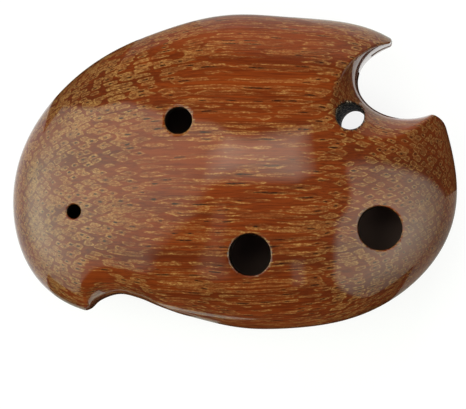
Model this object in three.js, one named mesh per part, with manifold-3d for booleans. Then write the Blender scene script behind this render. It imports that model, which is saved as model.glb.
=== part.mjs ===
// Pendant ocarina carved from hardwood, in millimetres, lying on its back with +Z up.
//
// Two hollowed shells meet on a flat glue seam at the widest line of the body. The front shell
// carries four finger holes. The back shell carries two thumb holes and the voice: a flat windway
// that enters at the tip of the horn, a window, and a ramp with a sharp edge that splits the air.
// A wedge glued between the shells is the windway's floor. A waisted bite beside the horn, a cord
// hole through the solid neck and a scooped rest for one finger finish the outline.

import * as THREE from "three";
import { mergeVertices } from "three/addons/utils/BufferGeometryUtils.js";
import Module from "manifold-3d";

const wasm = await Module();
wasm.setup();

// Driving dimensions
const bodyLength = 92;
const bodyWidth = 65.2;
const frontRise = 14.5;
const backRise = 13.5;
const restingCut = 0.7;
const sideWall = 5;
const faceWall = 4.5;
const overrun = 6;

// Body outline: radii about the carver's centre, at equal turns, as shares of half the length
const outlineRadiusShares = [
  0.98, 0.97, 0.972, 0.865, 0.79, 0.775, 0.785, 0.84, 0.91,
  0.97, 0.985, 0.895, 0.71, 0.65, 0.685, 0.76, 0.87, 0.96,
];
const outlineSteps = 72;

// Dome form: how full the faces are, and how round the rim is
const domeFullness = 2.4;
const rimRoundness = 2;
const domeRings = 9;

// Finger and thumb holes, bored square to the seam, from the smallest to the largest
const tinyHoleDiameter = 3;
const smallHoleDiameter = 5.6;
const wideHoleDiameter = 8.5;
const widestHoleDiameter = 8.9;
const farThumbHoleDiameter = 6.4;
const nearThumbHoleDiameter = 7.4;
const fingerHoles = [
  { diameter: tinyHoleDiameter, placeShares: [-0.69, -0.269] },
  { diameter: smallHoleDiameter, placeShares: [-0.219, 0.289] },
  { diameter: wideHoleDiameter, placeShares: [0.096, -0.547] },
  { diameter: widestHoleDiameter, placeShares: [0.665, -0.382] },
];
const thumbHoles = [
  { diameter: farThumbHoleDiameter, placeShares: [-0.42, 0.26] },
  { diameter: nearThumbHoleDiameter, placeShares: [0.53, -0.16] },
];
const holeEdgeBreak = 0.4;
const holeFacets = 28;

// Bite between the horn and the heel: an ellipse that widens towards both faces. It widens about a
// centre near the horn, so its bevel is broad on the heel's side and narrow on the horn's.
const biteLength = 20.8;
const biteWidth = 15.8;
const bitePlaceShares = [0.784, 0.564];
const biteTurn = 0.5;
const biteFlareCentreShares = [0.698, 0.711];
const biteFlare = 5.3;
const biteFlareDepth = 11;
const biteFlarePower = 3;
const biteFacets = 40;

// Corners between the outline and the bite, eased by hand to a radius in plan
const heelEase = 3.5;
const hornEase = 1;

// Cord hole through the solid neck, a bridge of wood away from the bite
const cordHoleDiameter = 5.6;
const cordHoleBridge = 1.8;
const cordHoleTurn = 217;
const cordHoleWall = 3;

// Finger rest at the lower edge: steep on the beak side, with a long soft run-out
const fingerRestCentreShares = [-0.36, -1.063];
const fingerRestOutlineShares = [
  [-0.704, -0.96], [-0.641, -0.861], [-0.606, -0.815], [-0.519, -0.775], [-0.424, -0.803],
  [-0.328, -0.858], [-0.161, -0.941], [-0.049, -0.986], [0.061, -1.015], [0.196, -1.049],
];
const fingerRestReachShares = [[0.2, -1.4], [-0.7, -1.4]];
const fingerRestFlareShare = 0.25;
const fingerRestFlareDepth = 8;
const fingerRestFlarePower = 3.3;
const fingerRestSteps = 26;
const flareRings = 8;

// Voice: windway, window, ramp and the wedge that closes the windway
const hornTipShares = [0.707, 0.838];
const windwayTurn = 194;
const windwayLength = 23;
const windwayWidth = 4.4;
const windwayHeight = 1.2;
const windwayDrop = 5.2;
const windwayCheek = 2.6;
const windowLength = 4.4;
const rampLength = 9;
const blockSetback = 3;
const blockClearance = 0.3;

// Finish
const shellColour = 0x7a3f1e;
const blockColour = 0xa8703e;
const lacquerRoughness = 0.25;
const bareRoughness = 0.7;

// Worked-out sizes
const halfLength = bodyLength / 2;
const halfWidth = bodyWidth / 2;
const degree = Math.PI / 180;
const seamHeight = backRise - restingCut;

function place(shares) {
  return new THREE.Vector2(shares[0] * halfLength, shares[1] * halfWidth);
}

function asSolid(geometry) {
  const bare = geometry.clone();
  bare.deleteAttribute("normal");
  bare.deleteAttribute("uv");
  const merged = mergeVertices(bare);
  const mesh = new wasm.Mesh({
    numProp: 3,
    vertProperties: new Float32Array(merged.attributes.position.array),
    triVerts: new Uint32Array(merged.index.array),
  });
  return new wasm.Manifold(mesh);
}

function asGeometry(solid) {
  const mesh = solid.getMesh();
  const geometry = new THREE.BufferGeometry();
  geometry.setAttribute("position", new THREE.BufferAttribute(new Float32Array(mesh.vertProperties), 3));
  geometry.setIndex(new THREE.BufferAttribute(new Uint32Array(mesh.triVerts), 1));
  geometry.computeVertexNormals();
  return geometry;
}

// Closed skin over a stack of level rings, each end shut by a fan about its own hub
function ringStack(rings, firstHub, lastHub) {
  const count = rings[0].length;
  const points = rings.flat().concat([firstHub, lastHub]);
  const firstHubIndex = rings.length * count;
  const lastHubIndex = firstHubIndex + 1;
  const lastRing = (rings.length - 1) * count;
  const index = [];
  for (let step = 0; step < count; step += 1) {
    const next = (step + 1) % count;
    for (let level = 0; level < lastRing; level += count) {
      const above = level + count;
      index.push(level + step, level + next, above + next);
      index.push(level + step, above + next, above + step);
    }
    index.push(firstHubIndex, next, step);
    index.push(lastHubIndex, lastRing + step, lastRing + next);
  }
  const geometry = new THREE.BufferGeometry();
  geometry.setAttribute("position", new THREE.Float32BufferAttribute(points.flatMap((p) => p.toArray()), 3));
  geometry.setIndex(index);
  return geometry;
}

// Radius share at any angle: the smoothest closed wave through the listed radii
function outlineRadiusShare(angle) {
  const count = outlineRadiusShares.length;
  const highest = count / 2;
  let radius = 0;
  outlineRadiusShares.forEach((share, number) => {
    const away = angle - (number / count) * 2 * Math.PI;
    let weight = 1 + Math.cos(highest * away);
    for (let wave = 1; wave < highest; wave += 1) {
      weight += 2 * Math.cos(wave * away);
    }
    radius += (share * weight) / count;
  });
  return radius;
}

// Outline of the body as points between -1 and 1 each way, with the carver's centre among them
function unitOutline() {
  const box = new THREE.Box2();
  const points = [];
  for (let step = 0; step < outlineSteps; step += 1) {
    const angle = (step / outlineSteps) * 2 * Math.PI;
    const radius = outlineRadiusShare(angle);
    const point = new THREE.Vector2(radius * Math.cos(angle), radius * Math.sin(angle));
    points.push(point);
    box.expandByPoint(point);
  }
  const middle = box.getCenter(new THREE.Vector2());
  const half = box.getSize(new THREE.Vector2()).multiplyScalar(1 / 2);
  const fit = (point) => point.clone().sub(middle).divide(half);
  return { points: points.map(fit), centre: fit(new THREE.Vector2()) };
}

const outline = unitOutline();

// Domed half of the body, standing on the seam. Inset draws it in from the sides.
function dome(rise, inset) {
  const reach = new THREE.Vector2(halfLength - inset, halfWidth - inset);
  const centre = outline.centre.clone().multiply(reach);
  const rings = [];
  for (let ring = 0; ring < domeRings; ring += 1) {
    const lift = (ring / domeRings) * (Math.PI / 2);
    const spread = Math.cos(lift) ** (2 / domeFullness);
    const height = rise * Math.sin(lift) ** (2 / rimRoundness);
    rings.push(outline.points.map((point) => {
      const edge = point.clone().multiply(reach).sub(centre).multiplyScalar(spread).add(centre);
      return new THREE.Vector3(edge.x, edge.y, height);
    }));
  }
  const foot = new THREE.Vector3(centre.x, centre.y, 0);
  const crown = new THREE.Vector3(centre.x, centre.y, rise);
  return asSolid(ringStack(rings, foot, crown));
}

function underside(solid) {
  return solid.mirror([0, 0, 1]);
}

// Waisted cutter: a level outline that grows away from its centre towards both faces
function flaredCutter(points, centre, growth, flareDepth, flarePower, extra) {
  const half = Math.max(frontRise, backRise) + overrun;
  const rings = [];
  for (let level = -flareRings; level <= flareRings; level += 1) {
    const height = (level / flareRings) * half;
    const scale = 1 + growth * (Math.abs(height) / flareDepth) ** flarePower;
    rings.push(points.map((point) => {
      const arm = point.clone().sub(centre);
      arm.setLength(arm.length() + extra).multiplyScalar(scale);
      return new THREE.Vector3(centre.x + arm.x, centre.y + arm.y, height);
    }));
  }
  const low = new THREE.Vector3(centre.x, centre.y, -half);
  const high = new THREE.Vector3(centre.x, centre.y, half);
  return asSolid(ringStack(rings, low, high));
}

function biteCutter(extra) {
  const centre = place(bitePlaceShares);
  const curve = new THREE.EllipseCurve(centre.x, centre.y, biteLength / 2, biteWidth / 2,
    0, 2 * Math.PI, false, biteTurn * degree);
  const points = curve.getPoints(biteFacets).slice(0, biteFacets);
  const growth = biteFlare / (biteLength / 2);
  const focus = place(biteFlareCentreShares);
  return flaredCutter(points, focus, growth, biteFlareDepth, biteFlarePower, extra);
}

// Place in the bite's own frame, where an ellipse grown by a margin is the unit circle
function inBiteFrame(spot, margin) {
  const reach = new THREE.Vector2(biteLength / 2 + margin, biteWidth / 2 + margin);
  const arm = spot.clone().sub(place(bitePlaceShares));
  return arm.rotateAround(new THREE.Vector2(), -biteTurn * degree).divide(reach);
}

// Direction from a place straight towards the bite's edge, found from the slope of the ellipse
function towardsBite(spot, margin) {
  const reach = new THREE.Vector2(biteLength / 2 + margin, biteWidth / 2 + margin);
  const slope = inBiteFrame(spot, margin).divide(reach);
  return slope.rotateAround(new THREE.Vector2(), biteTurn * degree).normalize().negate();
}

// Cutters that leave an arc where the outline runs into the bite, at the heel, and out at the horn
function cornerCutters() {
  const points = outline.points.map((point) => new THREE.Vector2(point.x * halfLength, point.y * halfWidth));
  const count = points.length;
  const cutters = [];
  [heelEase, hornEase].forEach((radius, corner) => {
    const inset = points.map((point, step) => {
      const ahead = points[(step + 1) % count].clone().sub(points[(step + count - 1) % count]);
      const inward = new THREE.Vector2(-ahead.y, ahead.x).setLength(radius);
      return point.clone().add(inward);
    });
    const clear = inset.map((point) => inBiteFrame(point, radius).length() - 1);
    points.forEach((point, step) => {
      const next = (step + 1) % count;
      const crosses = corner === 0 ? clear[step] > 0 && clear[next] <= 0 : clear[step] <= 0 && clear[next] > 0;
      if (!crosses) {
        return;
      }
      const share = clear[step] / (clear[step] - clear[next]);
      const centre = inset[step].clone().lerp(inset[next], share);
      const toOutline = point.clone().lerp(points[next], share).sub(centre);
      const toBite = towardsBite(centre, radius).multiplyScalar(toOutline.length());
      const toCorner = toOutline.clone().add(toBite);
      toCorner.setLength(toCorner.length() + overrun);
      const kite = new THREE.Shape([
        centre,
        centre.clone().add(toOutline),
        centre.clone().add(toCorner),
        centre.clone().add(toBite),
      ]);
      const geometry = new THREE.ExtrudeGeometry(kite, {
        depth: backRise + frontRise + overrun * 2,
        bevelEnabled: false,
      });
      geometry.translate(0, 0, -backRise - overrun);
      const kept = bore(centre, radius * 2, -backRise - overrun * 2, frontRise + overrun * 2);
      cutters.push(asSolid(geometry).subtract(kept));
    });
  });
  return cutters;
}

function fingerRestCutter(extra) {
  const centre = place(fingerRestCentreShares);
  const run = fingerRestOutlineShares.map((shares) => {
    const corner = place(shares);
    return new THREE.Vector3(corner.x, corner.y, 0);
  });
  const curve = new THREE.CatmullRomCurve3(run, false, "centripetal");
  const points = curve.getSpacedPoints(fingerRestSteps).map((point) => new THREE.Vector2(point.x, point.y));
  fingerRestReachShares.forEach((shares) => points.push(place(shares)));
  points.reverse();
  return flaredCutter(points, centre, fingerRestFlareShare, fingerRestFlareDepth,
    fingerRestFlarePower, extra);
}

// Upright bore from one height to another, about a place on the seam
function bore(centre, diameter, bottom, top) {
  const geometry = new THREE.CylinderGeometry(diameter / 2, diameter / 2, top - bottom, holeFacets);
  geometry.rotateX(Math.PI / 2);
  geometry.translate(centre.x, centre.y, (top + bottom) / 2);
  return asSolid(geometry);
}

// Height of the front or back dome above the seam at a place
function domeHeight(spot, rise) {
  const reach = new THREE.Vector2(halfLength, halfWidth);
  const centre = outline.centre.clone().multiply(reach);
  const arm = spot.clone().sub(centre);
  let nearest = null;
  outline.points.forEach((point) => {
    const edge = point.clone().multiply(reach).sub(centre);
    const turn = Math.abs(Math.atan2(arm.cross(edge), arm.dot(edge)));
    if (nearest === null || turn < nearest.turn) {
      nearest = { turn, radius: edge.length() };
    }
  });
  const spread = Math.min(arm.length() / nearest.radius, 1);
  return rise * (1 - spread ** domeFullness) ** (1 / rimRoundness);
}

// Hole with a broken outer edge, bored from the chamber through the face
function faceHole(hole, rise) {
  const centre = place(hole.placeShares);
  const through = bore(centre, hole.diameter, 0, rise + overrun);
  const face = domeHeight(centre, rise);
  const funnelHeight = holeEdgeBreak + overrun;
  const funnel = new THREE.CylinderGeometry(hole.diameter / 2 + funnelHeight, hole.diameter / 2,
    funnelHeight, holeFacets);
  funnel.rotateX(Math.PI / 2);
  funnel.translate(centre.x, centre.y, face - holeEdgeBreak + funnelHeight / 2);
  return through.add(asSolid(funnel));
}

// Closed bar along the windway: side corners are [distance from the horn tip, height]
function windwayBar(corners, width) {
  const side = new THREE.Shape(corners.map(([along, height]) => new THREE.Vector2(along, height)));
  const geometry = new THREE.ExtrudeGeometry(side, { depth: width, bevelEnabled: false });
  geometry.translate(0, 0, -width / 2);
  geometry.rotateX(Math.PI / 2);
  geometry.rotateZ(windwayTurn * degree);
  const tip = place(hornTipShares);
  geometry.translate(tip.x, tip.y, 0);
  return asSolid(geometry);
}

// Height of the windway's upper side, which is the wedge's, at a distance from the horn's tip
function windwayTop(along) {
  return (-windwayDrop * along) / windwayLength;
}

// Channel in the back shell, open at the seam, whose floor falls from the horn's tip to the window.
// It runs on into the window, so that nothing is left between the two.
function channelCutter() {
  const inWindow = windwayLength + windowLength / 2;
  return windwayBar([
    [-overrun, overrun],
    [inWindow, overrun],
    [inWindow, windwayTop(windwayLength) - windwayHeight],
    [windwayLength, windwayTop(windwayLength) - windwayHeight],
    [-overrun, windwayTop(-overrun) - windwayHeight],
  ], windwayWidth);
}

// Window through the back, with the ramp that runs out from the edge it leaves
function windowCutter() {
  const edge = windwayTop(windwayLength) - windwayHeight / 2;
  const outside = -backRise - overrun;
  const rampSlope = (backRise + edge) / rampLength;
  const rampEnd = windwayLength + windowLength + (edge - outside) / rampSlope;
  return windwayBar([
    [windwayLength, 0],
    [windwayLength + windowLength, 0],
    [windwayLength + windowLength, edge],
    [rampEnd, outside],
    [windwayLength, outside],
  ], windwayWidth);
}

// Solid that the chamber leaves round the windway
function windwayHousing() {
  const width = windwayWidth + windwayCheek * 2;
  return windwayBar([
    [-overrun, -backRise - overrun],
    [windwayLength, -backRise - overrun],
    [windwayLength, frontRise + overrun],
    [-overrun, frontRise + overrun],
  ], width);
}

// Middle of the cord hole, square off the bite's edge at a turn of the ellipse
function cordHolePlace() {
  const along = Math.cos(cordHoleTurn * degree);
  const across = Math.sin(cordHoleTurn * degree);
  const edge = new THREE.Vector2((biteLength / 2) * along, (biteWidth / 2) * across);
  const outward = new THREE.Vector2((biteWidth / 2) * along, (biteLength / 2) * across);
  edge.add(outward.setLength(cordHoleBridge + cordHoleDiameter / 2));
  return edge.rotateAround(new THREE.Vector2(), biteTurn * degree).add(place(bitePlaceShares));
}

function chamber() {
  const front = dome(frontRise - faceWall, sideWall);
  const back = underside(dome(backRise - faceWall, sideWall));
  const neck = bore(cordHolePlace(), cordHoleDiameter + cordHoleWall * 2,
    -backRise - overrun, frontRise + overrun);
  return front.add(back)
    .subtract(biteCutter(sideWall))
    .subtract(fingerRestCutter(sideWall))
    .subtract(neck)
    .subtract(windwayHousing());
}

function cordHole() {
  return bore(cordHolePlace(), cordHoleDiameter, -backRise - overrun, frontRise + overrun);
}

function slab(bottom, top) {
  const geometry = new THREE.BoxGeometry(bodyLength + overrun, bodyWidth + overrun, top - bottom);
  geometry.translate(0, 0, (top + bottom) / 2);
  return asSolid(geometry);
}

const hollow = chamber();
const bite = biteCutter(0);
const fingerRest = fingerRestCutter(0);
const corners = cornerCutters();

// Half of the body, hollow, with what is carved from its outside
function carvedHalf(half) {
  let shell = half.subtract(hollow).subtract(bite).subtract(fingerRest).subtract(cordHole());
  corners.forEach((corner) => {
    shell = shell.subtract(corner);
  });
  return shell;
}

function frontShell() {
  let shell = carvedHalf(dome(frontRise, 0));
  fingerHoles.forEach((hole) => {
    shell = shell.subtract(faceHole(hole, frontRise));
  });
  return shell;
}

function backShell() {
  let shell = carvedHalf(underside(dome(backRise, 0)));
  thumbHoles.forEach((hole) => {
    shell = shell.subtract(underside(faceHole(hole, backRise)));
  });
  shell = shell.subtract(channelCutter()).subtract(windowCutter());
  return shell.subtract(slab(-backRise - overrun, -backRise + restingCut));
}

// Wedge that fills the channel down to the windway, trimmed flush with the horn and the bite
function fippleBlock() {
  const start = blockSetback;
  const wedge = windwayBar([
    [start, -blockClearance],
    [windwayLength, -blockClearance],
    [windwayLength, windwayTop(windwayLength)],
    [start, windwayTop(start)],
  ], windwayWidth - blockClearance * 2);
  return wedge.intersect(underside(dome(backRise, 0))).subtract(bite);
}

function lacqueredWood() {
  return new THREE.MeshStandardMaterial({ color: shellColour, roughness: lacquerRoughness, metalness: 0 });
}

function bareWood() {
  return new THREE.MeshStandardMaterial({ color: blockColour, roughness: bareRoughness, metalness: 0 });
}

function piece(name, solid, material) {
  const mesh = new THREE.Mesh(asGeometry(solid), material);
  mesh.name = name;
  return mesh;
}

const ocarina = new THREE.Group();
ocarina.add(piece("front_shell", frontShell(), lacqueredWood()));
ocarina.add(piece("back_shell", backShell(), lacqueredWood()));
ocarina.add(piece("fipple_block", fippleBlock(), bareWood()));
ocarina.position.z = seamHeight;
ocarina.updateMatrixWorld(true);

export default ocarina;
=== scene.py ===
"""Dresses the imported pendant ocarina: two carved and lacquered shells, a wedge, floor, light and camera.

The shells are carved again as smooth solids from the same sizes as the CAD. A solid is a function
that is below zero inside the wood and above zero outside it, and close to a distance near its skin.
"""

import math

import bpy
import numpy as np
from mathutils import Matrix, Vector


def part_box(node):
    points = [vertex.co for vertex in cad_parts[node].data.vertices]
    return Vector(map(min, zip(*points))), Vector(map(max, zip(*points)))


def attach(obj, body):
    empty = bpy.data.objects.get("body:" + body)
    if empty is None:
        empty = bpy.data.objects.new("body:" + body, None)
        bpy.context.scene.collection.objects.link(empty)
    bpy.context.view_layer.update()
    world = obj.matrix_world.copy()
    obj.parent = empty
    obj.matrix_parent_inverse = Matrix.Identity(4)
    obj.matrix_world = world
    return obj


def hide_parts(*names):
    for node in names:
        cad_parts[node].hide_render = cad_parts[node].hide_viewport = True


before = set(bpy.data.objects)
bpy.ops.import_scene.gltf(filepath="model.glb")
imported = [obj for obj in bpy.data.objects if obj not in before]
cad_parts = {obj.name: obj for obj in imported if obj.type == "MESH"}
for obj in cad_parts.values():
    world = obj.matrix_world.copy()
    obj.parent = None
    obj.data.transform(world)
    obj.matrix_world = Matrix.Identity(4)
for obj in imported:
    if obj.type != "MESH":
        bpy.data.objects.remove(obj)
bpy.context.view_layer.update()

MM = 0.001
DEGREE = math.pi / 180

# Body
BODY_LENGTH = 92 * MM
BODY_WIDTH = 65.2 * MM
FRONT_RISE = 14.5 * MM
BACK_RISE = 13.5 * MM
RESTING_CUT = 0.7 * MM
SEAM_HEIGHT = BACK_RISE - RESTING_CUT
SIDE_WALL = 5 * MM
FACE_WALL = 4.5 * MM
DOME_FULLNESS = 2.4
RIM_ROUNDNESS = 2
OUTLINE_RADIUS_SHARES = [
    0.98, 0.97, 0.972, 0.865, 0.79, 0.775, 0.785, 0.84, 0.91,
    0.97, 0.985, 0.895, 0.71, 0.65, 0.685, 0.76, 0.87, 0.96,
]
HALF_SIZE = np.array([BODY_LENGTH, BODY_WIDTH]) / 2

# Finger holes on the front and thumb holes on the back: diameter and place shares
FINGER_HOLES = [
    (3 * MM, (-0.69, -0.269)),
    (5.6 * MM, (-0.219, 0.289)),
    (8.5 * MM, (0.096, -0.547)),
    (8.9 * MM, (0.665, -0.382)),
]
THUMB_HOLES = [
    (6.4 * MM, (-0.42, 0.26)),
    (7.4 * MM, (0.53, -0.16)),
]
HOLE_EDGE_ROUND = 0.35 * MM

# Bite between the horn and the heel: an ellipse that widens about a centre of its own
BITE_HALF_LENGTH = 10.4 * MM
BITE_HALF_WIDTH = 7.9 * MM
BITE_PLACE_SHARES = (0.784, 0.564)
BITE_TURN = 0.5 * DEGREE
BITE_FLARE_CENTRE_SHARES = (0.698, 0.711)
BITE_FLARE = 5.3 * MM
BITE_FLARE_DEPTH = 11 * MM
BITE_FLARE_POWER = 3
BITE_EDGE_ROUND = 0.5 * MM

# Corners between the outline and the bite, eased to a radius in plan
HEEL_EASE = 3.5 * MM
HORN_EASE = 1 * MM
CORNER_REACH = 6 * MM

# Cord hole
CORD_HOLE_RADIUS = 2.8 * MM
CORD_HOLE_BRIDGE = 1.8 * MM
CORD_HOLE_TURN = 217 * DEGREE
CORD_HOLE_WALL = 3 * MM

# Finger rest at the lower edge
REST_CENTRE_SHARES = (-0.36, -1.063)
REST_OUTLINE_SHARES = [
    (-0.704, -0.96), (-0.641, -0.861), (-0.606, -0.815), (-0.519, -0.775), (-0.424, -0.803),
    (-0.328, -0.858), (-0.161, -0.941), (-0.049, -0.986), (0.061, -1.015), (0.196, -1.049),
]
REST_FLARE_SHARE = 0.25
REST_FLARE_DEPTH = 8 * MM
REST_FLARE_POWER = 3.3
REST_EDGE_ROUND = 0.8 * MM

# Voice: windway, window, ramp and the wedge
HORN_TIP_SHARES = (0.707, 0.838)
WINDWAY_TURN = 194 * DEGREE
WINDWAY_LENGTH = 23 * MM
WINDWAY_WIDTH = 4.4 * MM
WINDWAY_HEIGHT = 1.2 * MM
WINDWAY_DROP = 5.2 * MM
WINDWAY_CHEEK = 2.6 * MM
WINDOW_LENGTH = 4.4 * MM
RAMP_LENGTH = 9 * MM
BLOCK_SETBACK = 3 * MM
BLOCK_CLEARANCE = 0.3 * MM

# Masks on the carved skin: how near to a cutter's skin counts as cut, how steeply a bore's mask
# rises, and how deep under the dome the painted shade of a bore starts and how soon it is full
BORE_REACH = 0.38 * MM
BORE_STEEPNESS = 4
BORE_SHADE_START = 0.1 * MM
BORE_SHADE_EASE = 0.3 * MM
HOLLOW_REACH = 0.3 * MM

# Skin that faces along the fibres is cut across them. It soaks up more lacquer and is darker,
# most of all at the heel.
END_GRAIN_FACING = 0.5
FAR_END_SHADE = 0.44
HEEL_SHADE = 0.55

# Noises in the wood: how fast each changes along, across and up the fibres, per millimetre, then
# its detail and its roughness
RING_NOISE = ((0.03, 0.16, 0.35), 2.0, 0.5)
ENDING_NOISE = ((0.38, 0.9, 1.3), 2.0, 0.5)
MOTTLE_NOISE = ((1.2, 2.4, 2.4), 1.0, 0.5)
SPECK_NOISE = ((2.2, 5.0, 5.0), 1.0, 0.5)
PORE_NOISE = ((0.32, 1.1, 1.6), 0.0, 0.5)
BAND_NOISE = ((0.012, 0.16, 0.2), 3.0, 0.55)
FINE_NOISE = ((0.1, 2.6, 2.6), 3.0, 0.6)
HAIR_NOISE = ((0.3, 8.0, 8.0), 1.0, 0.6)
NOISE_MIDDLE = 0.5

# How the fibres wander: how fast that changes each way, per millimetre, and how far, in millimetres
LONG_WANDER = ((0.03, 0.05, 0.05), 2.2)
SHORT_WANDER = ((0.16, 0.4, 0.4), 0.45)
WANDER_DETAIL = 1.0

# Pale lozenges across the fibres: width and height in millimetres, then shape, disorder, and
# size in shares of the lattice, and how much chance, ring, ending and the far end change the size
LOZENGE_WIDTH = 1.8
LOZENGE_HEIGHT = 1.0
LOZENGE_SHAPE = 4.5
LOZENGE_DISORDER = 0.55
LOZENGE_SIZE = 0.27
LOZENGE_BY_CHANCE = 0.16
LOZENGE_BY_RING = 0.4
LOZENGE_BY_ENDING = 0.65
LOZENGE_BY_FAR_END = 0.08
FILLING_BY_CHANCE = 0.4
FILLING_BY_FAR_END = 0.5
PORE_BY_CHANCE = 0.25

# Ranges in the wood: the two ends of a noise or a distance, and what it becomes there. The rim's
# last value is how far its lozenge is filled.
LOZENGE_EDGE = (-0.04, 0.04, 0.0, 1.0)
LOZENGE_RIM = (0.06, 0.15, 1.0)
LOZENGE_FILLING = (0.5, 0.95, 0.12, 0.6)
LOZENGE_MOTTLE = (0.35, 0.6, 0.35, 1.0)
LOZENGE_SPECK = (0.38, 0.6, 0.4, 1.0)
PORE_SIZE = (0.48, 0.75, 0.0, 0.17)
PORE_EDGE = (0.0, 0.06, 0.0, 1.0)
PORE_MOTTLE = (0.35, 0.55, 0.45, 1.0)
FIBRE_SHADE = (0.6, 1.0, 0.0, 1.0)
STREAK_THREAD = (0.42, 0.6, 0.08, 0.72)
END_THREAD = (0.03, 0.45, 0.0, 0.8)

# How much each noise counts in the fibres' shade and in the wood's relief
BAND_IN_SHADE = 0.7
FINE_IN_SHADE = 0.7
HAIR_IN_SHADE = 0.2
FINE_IN_RELIEF = 0.25

# Colours as seen on a screen, from 0 to 255
SHELL_COLOURS = {
    "Dark Fibre": (90, 34, 12),
    "Light Fibre": (128, 54, 18),
    "Pale Lozenge": (188, 140, 80),
    "Vessel": (54, 26, 14),
}
WEDGE_COLOURS = {
    "Dark Fibre": (126, 76, 44),
    "Light Fibre": (176, 122, 76),
    "Pale Lozenge": (204, 160, 108),
    "Vessel": (70, 44, 30),
}
WEDGE_LOZENGE_AMOUNT = -0.05
CHAMBER_COLOUR = (134, 108, 102)
# Painted shade: bore walls are painted near black, standing in for the shade inside the holes
DARK_BORE_SHADE = (18, 13, 12)
LIGHT_BORE_SHADE = (34, 25, 21)
FLECK_COLOUR = (170, 152, 132)
GLUE_COLOUR = (52, 24, 14)

# Painted shade in the bores: noise per millimetre and its detail, and its ranges in that shade and in the
# flecks
BORE_SHADE_NOISE = (2.2, 1.0)
BORE_SHADE_RANGE = (0.4, 0.6)
FLECK_RANGE = (0.6, 0.66)

# Glue line: how far from the seam its dark starts to fade and is gone, and how dark it is there
GLUE_RANGE = (0.02 * MM, 0.09 * MM, 0.7, 0.0)

# Lacquer over a wood that is rougher where it is bare or burnt: noise per millimetre and its detail,
# roughness under the lacquer and what bare wood adds, and the relief's strength and depth
SMEAR_NOISE = (0.12, 3.0)
SMEAR_RANGE = (0.3, 0.7, 0.32, 0.42)
BARE_ROUGHNESS = 0.35
LACQUERED_RELIEF = (0.35, 0.03 * MM)
UNDER_LACQUER_GLOSS = 0.05
LACQUER_ROUGHNESS = 0.045
LACQUER_IOR = 1.5

# Sanded wood of the wedge
SANDED_RANGE = (-0.5, 0.3, 0.78, 0.62)
SANDED_RELIEF = (0.5, 0.04 * MM)

# Stage: distances in metres, angles in degrees, strengths where 1 is white
FLOOR_HALF = 1.5
FLOOR_DROP = -0.05 * MM
FLOOR_WHITE = 0.18
FLOOR_GLOW = 0.84
FLOOR_BOUNCE = 0.5
ROOM_LIGHT = 0.1
CANOPY_REACH = 1.3
CANOPY_TURNS = range(0, 361, 12)
CANOPY_TILTS = range(0, 97, 8)
CARD_LIFT = 0.3 * MM
NARROW_GAP = 0.8 * MM
WIDE_GAP = 7 * MM
BLACK_GAP = 14 * MM
CARD_STEP = 3
CARD_ROUGHNESS = 1.0
WINDOW_REACH = 0.8
PANE_REACH = 0.75
WINDOW_COLUMNS = 12
DAYLIGHT = (0.9, 1.0, 0.84, 1.0)
PAPER_ROUGHNESS = 0.9

# Windows, row by row: tilt from straight up, then turns from +X where the row starts from nothing,
# is full, starts to fade and is gone, then strengths where its full part starts, halfway, and where
# it ends
WINDOWS = {"left_window": [
    (6.5, (135, 150, 190, 215), (0.0, 0.0, 0.0)),
    (8.5, (114, 132, 205, 226), (0.8, 0.8, 0.4)),
    (11, (108, 122, 218, 237), (1.15, 1.2, 0.75)),
    (15, (106, 113, 222, 242), (1.2, 1.4, 0.85)),
    (26, (121, 125, 230, 249), (1.5, 1.75, 1.2)),
    (36, (127, 130, 238, 254), (1.7, 2.3, 1.2)),
    (46, (130, 133, 244, 257), (1.7, 2.4, 1.0)),
    (56, (137, 139, 242, 250), (2.1, 3.2, 0.9)),
    (66, (139, 141, 235, 240), (1.8, 4.0, 1.2)),
    (76, (140, 142, 232, 236), (1.5, 3.4, 1.1)),
    (84, (141, 143, 232, 236), (1.4, 2.2, 1.1)),
    (91, (141, 143, 232, 236), (1.1, 1.4, 1.1)),
], "right_window": [
    (18, (-40, -28, 20, 28), (0.0, 0.0, 0.0)),
    (20, (-42, -32, 20, 26), (1.6, 1.6, 1.2)),
    (26, (-54, -48, 18, 23), (1.8, 2.0, 1.3)),
    (35, (-62, -58, 14, 18), (1.8, 2.4, 1.7)),
    (45, (-68, -65, 10, 14), (1.6, 2.7, 2.0)),
    (55, (-70, -67, 7, 11), (1.8, 3.0, 1.9)),
    (65, (-70, -67, 4, 8), (1.5, 2.3, 1.5)),
    (75, (-68, -66, 1, 5), (0.9, 1.6, 1.1)),
    (84, (-66, -64, -1, 3), (0.8, 1.1, 0.9)),
    (90, (-64, -62, -3, 1), (0.6, 0.8, 0.7)),
], "back_window": [
    (46, (60, 70, 85, 100), (0.0, 0.0, 0.0)),
    (60, (48, 60, 90, 108), (0.45, 0.5, 0.3)),
    (75, (44, 52, 96, 114), (0.4, 0.5, 0.3)),
    (91, (42, 48, 100, 116), (0.3, 0.45, 0.3)),
]}

# Panes overhead: degrees from straight up towards +X and towards +Y, from edge to edge, and strength
PANES = {
    "skylight": ((-8, -5, 5.5, 10.5), (2.6, 5.5, 9.5, 14.5), 2.5),
    "low_pane": ((3.5, 5, 7, 8.5), (-52, -46, -32, -27), 0.7),
}

# Cards just over the floor, for the lacquer to mirror, and how bright each is
CARD_SHADES = {"black": 0.0, "pale": 0.65, "grey": 0.4, "dim": 0.2}

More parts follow.
